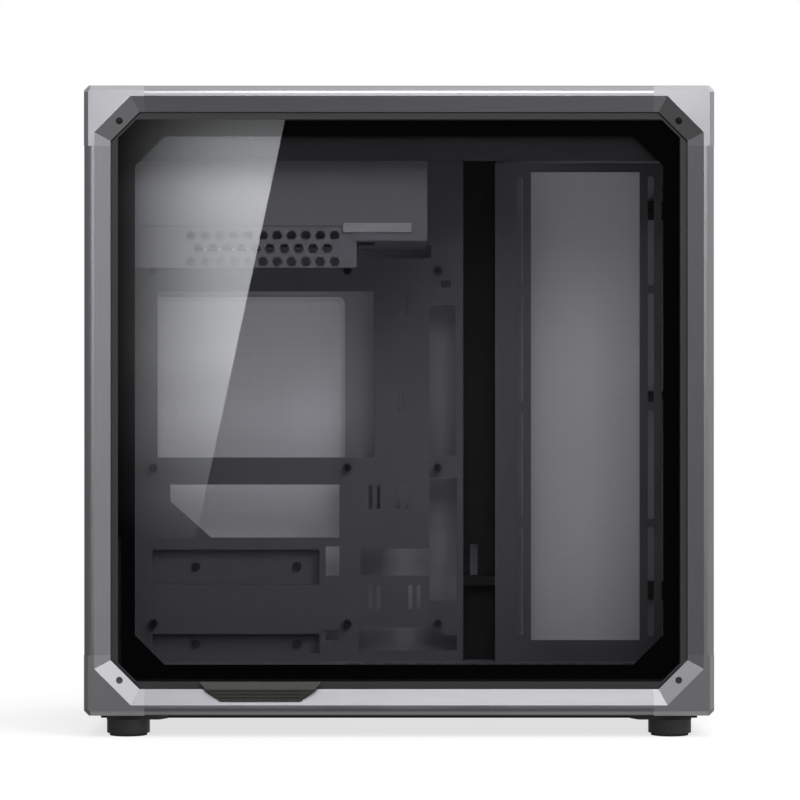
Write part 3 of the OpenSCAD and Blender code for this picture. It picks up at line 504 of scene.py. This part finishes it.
class AddScreens(bpy.types.Operator):
    """Dust screens behind the vents of the front and top panels"""
    bl_idname = "case.add_screens"
    bl_label = "Add the dust screens"

    lift: length("Lift", "Distance of a screen from the panel's inner end", 0.0042)

    def execute(self, context):
        pitch = sizes().screen_pitch
        dark = (0.02, 0.02, 0.022)
        made = (("front_screen", "front_panel", "front_mesh", 0, "Y", "Z", (0, 0.068, 0.190)),
                ("top_screen", "top_panel", "top_mesh", 2, "X", "Y", (0.170, 0.060, 0)))
        for name, node, body, axis, across, up, reach in made:
            low, high = (Vector(v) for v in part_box(node))
            middle = (low + high) / 2
            for side in range(3):
                if side != axis:
                    low[side] = middle[side] - reach[side]
                    high[side] = middle[side] + reach[side]
            place = (low + high) / 2
            place[axis] = low[axis] + self.lift
            deselect()
            turn = (0, math.pi / 2, 0) if axis == 0 else (0, 0, 0)
            bpy.ops.mesh.primitive_plane_add(size=1, location=place, rotation=turn)
            piece = begin(name)
            first = 2 if axis == 0 else 0
            piece.scale = (high[first] - low[first], high[1] - low[1], 1)
            settle(piece, body, screen_material(name + "_weave", dark, pitch, across, up))
        return {"FINISHED"}


def facet_places():
    """For each facet of each corner block: the block, its tip, the tip's side on each axis, and the face."""
    places = []
    for corner in (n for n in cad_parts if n.startswith("corner_")):
        low, high = (Vector(v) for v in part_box(corner))
        sign = [-1 if (low[i] + high[i]) / 2 < (CAD_BOX[0][i] + CAD_BOX[1][i]) / 2 else 1 for i in range(3)]
        tip = Vector([low[i] if sign[i] < 0 else high[i] for i in range(3)])
        for face in range(3):
            places.append((corner, tip, sign, face))
    return places


class AddCornerScrews(bpy.types.Operator):
    """Socket screw in each facet of the corner blocks"""
    bl_idname = "case.add_corner_screws"
    bl_label = "Add the corner screws"

    facet_middle: length("Facet middle", "Distance of a facet's middle from the corner", 0.0262)
    facet_depth: length("Facet depth", "Depth of a facet's middle below the outer face", 0.0036)

    def execute(self, context):
        finish = metal("screw_black", (0.10, 0.10, 0.105), 0.30, (1, 1, 1), 0.15, 0.1)
        radius = sizes().screw_diameter / 2
        for index, (corner, tip, sign, face) in enumerate(facet_places()):
            centre = tip.copy()
            normal = Vector((0, 0, 0))
            for axis in range(3):
                if axis == face:
                    centre[axis] -= sign[axis] * self.facet_depth
                    normal[axis] = sign[axis] * FACET_OUT
                else:
                    centre[axis] -= sign[axis] * self.facet_middle
                    normal[axis] = -sign[axis] * FACET_SIDE
            deselect()
            bpy.ops.mesh.primitive_cylinder_add(vertices=32, radius=radius, depth=radius * 0.5,
                                                location=centre)
            piece = begin("screw_%02d_%s" % (index, corner))
            piece.rotation_euler = normal.to_track_quat("Z", "Y").to_euler()
            bpy.ops.object.mode_set(mode="EDIT")
            select_faces(piece, lambda c, n: n.z > 0.9)
            bpy.ops.mesh.inset(thickness=radius * 0.18)
            bpy.ops.mesh.inset(thickness=radius * 0.30)
            socket_depth = radius * 0.25
            bpy.ops.mesh.extrude_region_move(TRANSFORM_OT_translate={"value": (0, 0, -socket_depth)})
            bpy.ops.object.mode_set(mode="OBJECT")
            settle(piece, "chassis", finish)
        return {"FINISHED"}


class AddCoverPlate(bpy.types.Operator):
    """Blank plate riveted to the supply cover"""
    bl_idname = "case.add_cover_plate"
    bl_label = "Add the plate on the cover"

    right_edge: length("Right edge", "Distance of the plate from the cover's front end", 0.0115)
    drop: length("Drop", "Distance of the plate below the cover's upper edge", 0.0468)

    def execute(self, context):
        size = sizes()
        low, high = (Vector(v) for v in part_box("psu_cover"))
        centre = (high.x - self.right_edge - size.plate_width / 2, low.y - 0.0003,
                  high.z - self.drop - size.plate_height / 2)
        deselect()
        bpy.ops.mesh.primitive_cube_add(size=1, location=centre)
        piece = begin("cover_plate")
        piece.scale = (size.plate_width, 0.0008, size.plate_height)
        bpy.ops.object.transform_apply(location=False, rotation=False, scale=True)
        edge = piece.modifiers.new("edge", "BEVEL")
        edge.width = 0.0003
        edge.segments = 2
        apply_modifiers(piece)
        settle(piece, "chassis",
               metal("blank_plate", (0.26, 0.26, 0.27), 0.38, (0.05, 1, 1), 0.25, 0.08))
        return {"FINISHED"}


def stage_material(name):
    material, tree, shader, coords = principled(name)
    tree.nodes.remove(shader)
    return material, tree, coords, tree.nodes["Material Output"].inputs["Surface"]


def only_seen_by(piece, *rays):
    for ray in ("camera", "diffuse", "glossy", "transmission", "volume_scatter", "shadow"):
        setattr(piece, "visible_" + ray, ray in rays)


def map_range(tree, value, start, end, low=0.0, high=1.0, smooth=False):
    """Value from start to end mapped to low to high."""
    node = add(tree, "ShaderNodeMapRange", interpolation_type="SMOOTHSTEP" if smooth else "LINEAR")
    link(tree, value, node.inputs["Value"])
    for label, number in (("From Min", start), ("From Max", end), ("To Min", low), ("To Max", high)):
        node.inputs[label].default_value = number
    return node.outputs[0]


def value_ramp(tree, position, steps):
    """Eased ramp through (position, brightness) steps."""
    ramp = add(tree, "ShaderNodeValToRGB")
    ramp.color_ramp.interpolation = "EASE"
    elements = ramp.color_ramp.elements
    for index, (place, value) in enumerate(steps):
        if 0 < index < len(steps) - 1:
            element = elements.new(place)
        else:
            element = elements[0] if index == 0 else elements[-1]
        element.position = place
        element.color = (value, value, value, 1)
    link(tree, position, ramp.inputs[0])
    return ramp.outputs[0]


def softbox(name, place, aim, width, height, power):
    deselect()
    bpy.ops.object.light_add(type="AREA", location=place)
    lamp = begin(name)
    lamp.data.shape = "RECTANGLE"
    lamp.data.size = width
    lamp.data.size_y = height
    lamp.data.energy = power
    lamp.rotation_euler = (Vector(aim) - Vector(place)).to_track_quat("-Z", "Y").to_euler()
    return lamp


class SetStage(bpy.types.Operator):
    """Camera, pale floor, soft lights and the card that the glass reflects"""
    bl_idname = "case.set_stage"
    bl_label = "Set the stage"

    def execute(self, context):
        self.set_world(context.scene)
        self.lay_floor()
        self.hang_card()
        overhead = softbox("overhead", (0.1, -0.1, 1.9), (0, 0, 0.25), 1.8, 1.6, 30)
        overhead.visible_glossy = False
        softbox("front_fill", (0.15, -2.6, 1.5), (0, 0, 0.25), 1.1, 1.1, 14)
        key = softbox("key_right", (1.0, -1.3, 1.5), (0, 0, 0.25), 0.5, 0.5, 14)
        key.visible_glossy = False
        self.place_camera(context.scene)
        return {"FINISHED"}

    def set_world(self, scene):
        """Soft room: bright above and to the right, dark below; the camera sees it white."""
        world = bpy.data.worlds.new("studio")
        scene.world = world
        world.use_nodes = True
        tree = world.node_tree
        for node in list(tree.nodes):
            tree.nodes.remove(node)
        coords = add(tree, "ShaderNodeTexCoord")
        split = add(tree, "ShaderNodeSeparateXYZ")
        link(tree, coords.outputs["Generated"], split.inputs[0])
        half = math_node(tree, "MULTIPLY", math_node(tree, "ADD", split.outputs["Z"], 1.0), 0.5)
        sky = value_ramp(tree, half, ((0, 0.30), (0.12, 0.13), (0.36, 0.07), (0.5, 0.18), (0.66, 0.32),
                                      (0.85, 0.50), (1, 0.80)))
        side = map_range(tree, split.outputs["X"], -0.2, 0.8, 0.75, 1.9, smooth=True)
        room = add(tree, "ShaderNodeBackground")
        link(tree, sky, room.inputs["Color"])
        link(tree, side, room.inputs["Strength"])
        white = add(tree, "ShaderNodeBackground", Color=(1, 1, 1, 1))
        path = tree.nodes.new("ShaderNodeLightPath")
        mix = tree.nodes.new("ShaderNodeMixShader")
        link(tree, path.outputs["Is Camera Ray"], mix.inputs[0])
        link(tree, room.outputs[0], mix.inputs[1])
        link(tree, white.outputs[0], mix.inputs[2])
        link(tree, mix.outputs[0], tree.nodes.new("ShaderNodeOutputWorld").inputs["Surface"])

    def lay_floor(self):
        deselect()
        bpy.ops.mesh.primitive_plane_add(size=8, location=(0, 0, 0))
        floor = begin("floor")
        material, tree, coords, surface = stage_material("pale_floor")
        away = add(tree, "ShaderNodeVectorMath", operation="LENGTH")
        link(tree, coords, away.inputs[0])
        fade = map_range(tree, away.outputs["Value"], 0.35, 0.60, 0.72)
        near = add(tree, "ShaderNodeBsdfDiffuse", Color=(0.94, 0.94, 0.94, 1))
        far = add(tree, "ShaderNodeEmission", Color=(1, 1, 1, 1), Strength=1.0)
        mix = tree.nodes.new("ShaderNodeMixShader")
        link(tree, fade, mix.inputs[0])
        link(tree, near.outputs[0], mix.inputs[1])
        link(tree, far.outputs[0], mix.inputs[2])
        link(tree, mix.outputs[0], surface)
        floor.data.materials.append(material)
        only_seen_by(floor, "camera", "shadow", "diffuse")

    def hang_card(self):
        """A bright slanted card beside the camera, which only reflections see."""
        deselect()
        bpy.ops.mesh.primitive_plane_add(size=1, location=(VIEW_X - 0.300, CARD_Y, VIEW_Z + 0.108),
                                         rotation=(math.pi / 2, 0, 0))
        card = begin("reflected_card")
        card.scale = (0.260, 0.628, 1)
        bpy.ops.object.transform_apply(location=True, rotation=True, scale=True)
        bpy.ops.object.mode_set(mode="EDIT")
        bpy.ops.mesh.select_all(action="SELECT")
        bpy.ops.mesh.bisect(plane_co=(VIEW_X - 0.170, CARD_Y, VIEW_Z + 0.422),
                            plane_no=(0.978, 0, -0.209), clear_outer=True)
        bpy.ops.object.mode_set(mode="OBJECT")
        material, tree, coords, surface = stage_material("card_light")
        split = add(tree, "ShaderNodeSeparateXYZ")
        link(tree, coords, split.inputs[0])
        height = map_range(tree, split.outputs["Z"], 0.04, 0.68)
        fall = value_ramp(tree, height, ((0, 0.05), (0.13, 0.20), (0.34, 0.55), (0.45, 0.80),
                                         (0.70, 0.82), (0.80, 0.95), (0.90, 0.57), (1, 0.30)))
        edge = map_range(tree, split.outputs["X"], -0.45, -0.20, smooth=True)
        light = add(tree, "ShaderNodeEmission", Color=(0.96, 0.98, 1.0, 1))
        glow = math_node(tree, "MULTIPLY", math_node(tree, "MULTIPLY", fall, edge), 6.0)
        link(tree, glow, light.inputs["Strength"])
        link(tree, light.outputs[0], surface)
        card.data.materials.append(material)
        only_seen_by(card, "glossy", "transmission")
        deselect()
        bpy.ops.mesh.primitive_plane_add(size=0.84, location=(VIEW_X, CARD_Y - 0.05, VIEW_Z),
                                         rotation=(math.pi / 2, 0, 0))
        flag = begin("dark_flag")
        material, tree, coords, surface = stage_material("flag_cloth")
        dim = add(tree, "ShaderNodeEmission", Color=(1, 1, 1, 1), Strength=0.02)
        link(tree, dim.outputs[0], surface)
        flag.data.materials.append(material)
        only_seen_by(flag, "glossy", "transmission")

    def place_camera(self, scene):
        data = bpy.data.cameras.new("camera")
        data.lens = 139.6
        data.sensor_width = 36
        camera = bpy.data.objects.new("camera", data)
        scene.collection.objects.link(camera)
        camera.location = (VIEW_X, NEAR_Y - CAMERA_DISTANCE, VIEW_Z)
        camera.rotation_euler = (math.pi / 2, 0, 0)
        scene.camera = camera
        scene.view_settings.view_transform = "Standard"
        scene.view_settings.look = "None"


OPERATORS = (PaintFrame, AddGlassPrint, AddScreens, AddCornerScrews, AddCoverPlate, SetStage)


class CasePanel(bpy.types.Panel):
    """Lists the case's operators and their sizes"""
    bl_idname = "VIEW3D_PT_case"
    bl_label = "Mid-Tower Case"
    bl_space_type = "VIEW_3D"
    bl_region_type = "UI"
    bl_category = "Case"

    def draw(self, context):
        for group in (context.scene.case_sizes, context.scene.case_colours):
            for name in group.bl_rna.properties.keys():
                if name not in ("rna_type", "name"):
                    self.layout.prop(group, name)
        for operator in OPERATORS:
            self.layout.operator(operator.bl_idname)


def register():
    for kind in (CaseSizes, CaseColours) + OPERATORS + (CasePanel,):
        bpy.utils.register_class(kind)
    bpy.types.Scene.case_sizes = bpy.props.PointerProperty(type=CaseSizes)
    bpy.types.Scene.case_colours = bpy.props.PointerProperty(type=CaseColours)


def unregister():
    del bpy.types.Scene.case_colours
    del bpy.types.Scene.case_sizes
    for kind in reversed((CaseSizes, CaseColours) + OPERATORS + (CasePanel,)):
        bpy.utils.unregister_class(kind)


def main():
    register()
    for operator in OPERATORS:
        group, name = operator.bl_idname.split(".")
        result = getattr(getattr(bpy.ops, group), name)()
        if result != {"FINISHED"}:
            raise RuntimeError(operator.bl_label + " failed")
    bpy.context.view_layer.update()


if __name__ == "__main__":
    main()
